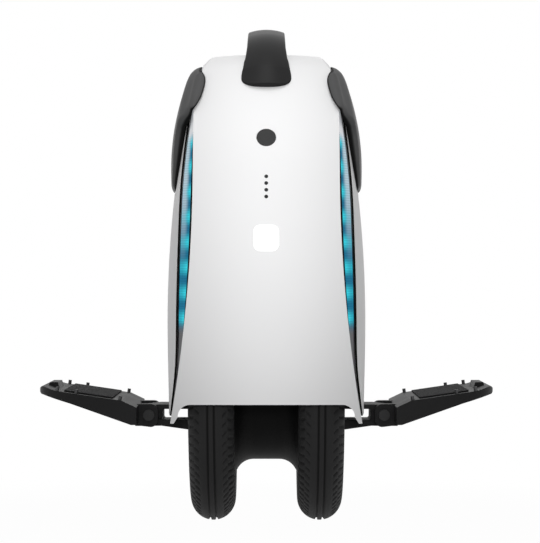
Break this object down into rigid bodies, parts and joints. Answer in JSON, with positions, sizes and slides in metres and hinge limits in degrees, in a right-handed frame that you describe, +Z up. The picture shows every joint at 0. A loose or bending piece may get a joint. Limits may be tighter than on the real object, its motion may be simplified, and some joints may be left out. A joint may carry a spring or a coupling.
{
  "type": "electric unicycle",
  "caption": "Self-balancing electric unicycle with side-by-side tyres on a hub-motor wheel, fold-up pedals, white body with leg pads and light strips, and a carry handle.",
  "frame": {"origin": "on the ground under the middle of the axle", "axes": "+Z up, +X to the right as seen from the front, front of the machine towards -Y, axle along X"},
  "size_m": [0.443, 0.41, 0.488],
  "materials": {
    "bare_alloy": "as machined",
    "battery_wrap": "shrink wrap",
    "black_satin": "satin, fine grain",
    "board": "solder mask",
    "copper": "enamelled wire",
    "dark_casting": "black coated casting",
    "dark_steel": "black oxide",
    "grip": "fine sanded",
    "iron": "laminated",
    "lens_dark": "smoked",
    "lens_red": "ribbed",
    "lens_white": "frosted",
    "pad_cover": "soft synthetic leather over foam",
    "steel": "zinc plated",
    "strip_blue": "ribbed diffuser",
    "tube_rubber": "smooth butyl rubber",
    "tyre_rubber": "matt moulded tread",
    "white_gloss": "gloss"
  },
  "bodies": {
    "chassis": {"axle": "steel", "axle_nuts": "steel", "axle_washers": "steel", "button_switch": "black_satin", "capacitors": "bare_alloy", "carry_handle": "black_satin", "charge_port": "black_satin", "control_board": "board", "front_battery": "battery_wrap", "front_left_light_strip": "strip_blue", "front_panel": "white_gloss", "front_right_light_strip": "strip_blue", "hand_well": "white_gloss", "handle_screws": "dark_steel", "hanger_bolts": "steel", "headlight_board": "board", "headlight_lens": "lens_white", "heat_sink": "bare_alloy", "hinge_pins": "dark_steel", "indicator_board": "board", "indicator_lenses": "lens_dark", "left_edge_trim": "black_satin", "left_leg_pad": "pad_cover", "left_pedal_hanger": "dark_casting", "left_side_plate": "bare_alloy", "left_side_shell": "white_gloss", "light_boards": "board", "rear_battery": "battery_wrap", "rear_left_light_strip": "strip_blue", "rear_panel": "white_gloss", "rear_right_light_strip": "strip_blue", "right_edge_trim": "black_satin", "right_leg_pad": "pad_cover", "right_pedal_hanger": "dark_casting", "right_side_plate": "bare_alloy", "right_side_shell": "white_gloss", "stator_coils": "copper", "stator_core": "iron", "tail_light_board": "board", "tail_light_lens": "lens_red", "wheel_arch": "black_satin"},
    "wheel": {"left_tyre": "tyre_rubber", "right_tyre": "tyre_rubber", "left_inner_tube": "tube_rubber", "right_inner_tube": "tube_rubber", "wheel_rim": "dark_casting", "magnet_ring": "iron", "left_hub_cover": "dark_casting", "right_hub_cover": "dark_casting", "wheel_bearings": "steel", "cover_screws": "dark_steel", "valve_stems": "tube_rubber"},
    "right_pedal": {"right_pedal": "dark_casting", "right_pedal_grip": "grip", "right_pedal_studs": "dark_steel"},
    "left_pedal": {"left_pedal": "dark_casting", "left_pedal_grip": "grip", "left_pedal_studs": "dark_steel"},
    "button": {"power_button": "lens_dark"},
    "cap": {"charge_cap": "black_satin"}
  },
  "joints": [
    {"name": "wheel_spin", "type": "hinge", "parent": "chassis", "child": "wheel", "pos_m": [0, 0, 0.174], "axis": [1, 0, 0], "continuous": true},
    {"name": "right_pedal_fold", "type": "hinge", "parent": "chassis", "child": "right_pedal", "pos_m": [0.116, 0, 0.106], "axis": [0, -1, 0], "range_deg": [0, 75]},
    {"name": "left_pedal_fold", "type": "hinge", "parent": "chassis", "child": "left_pedal", "pos_m": [-0.116, 0, 0.106], "axis": [0, 1, 0], "range_deg": [0, 75]},
    {"name": "button_press", "type": "slide", "parent": "chassis", "child": "button", "axis": [0, 0.8978, -0.4404], "range_m": [0, 0.0012], "stiffness_N_per_m": 800},
    {"name": "cap_hinge", "type": "hinge", "parent": "chassis", "child": "cap", "pos_m": [0, 0.18992, 0.35046], "axis": [1, 0, 0], "range_deg": [0, 110]}
  ]
}
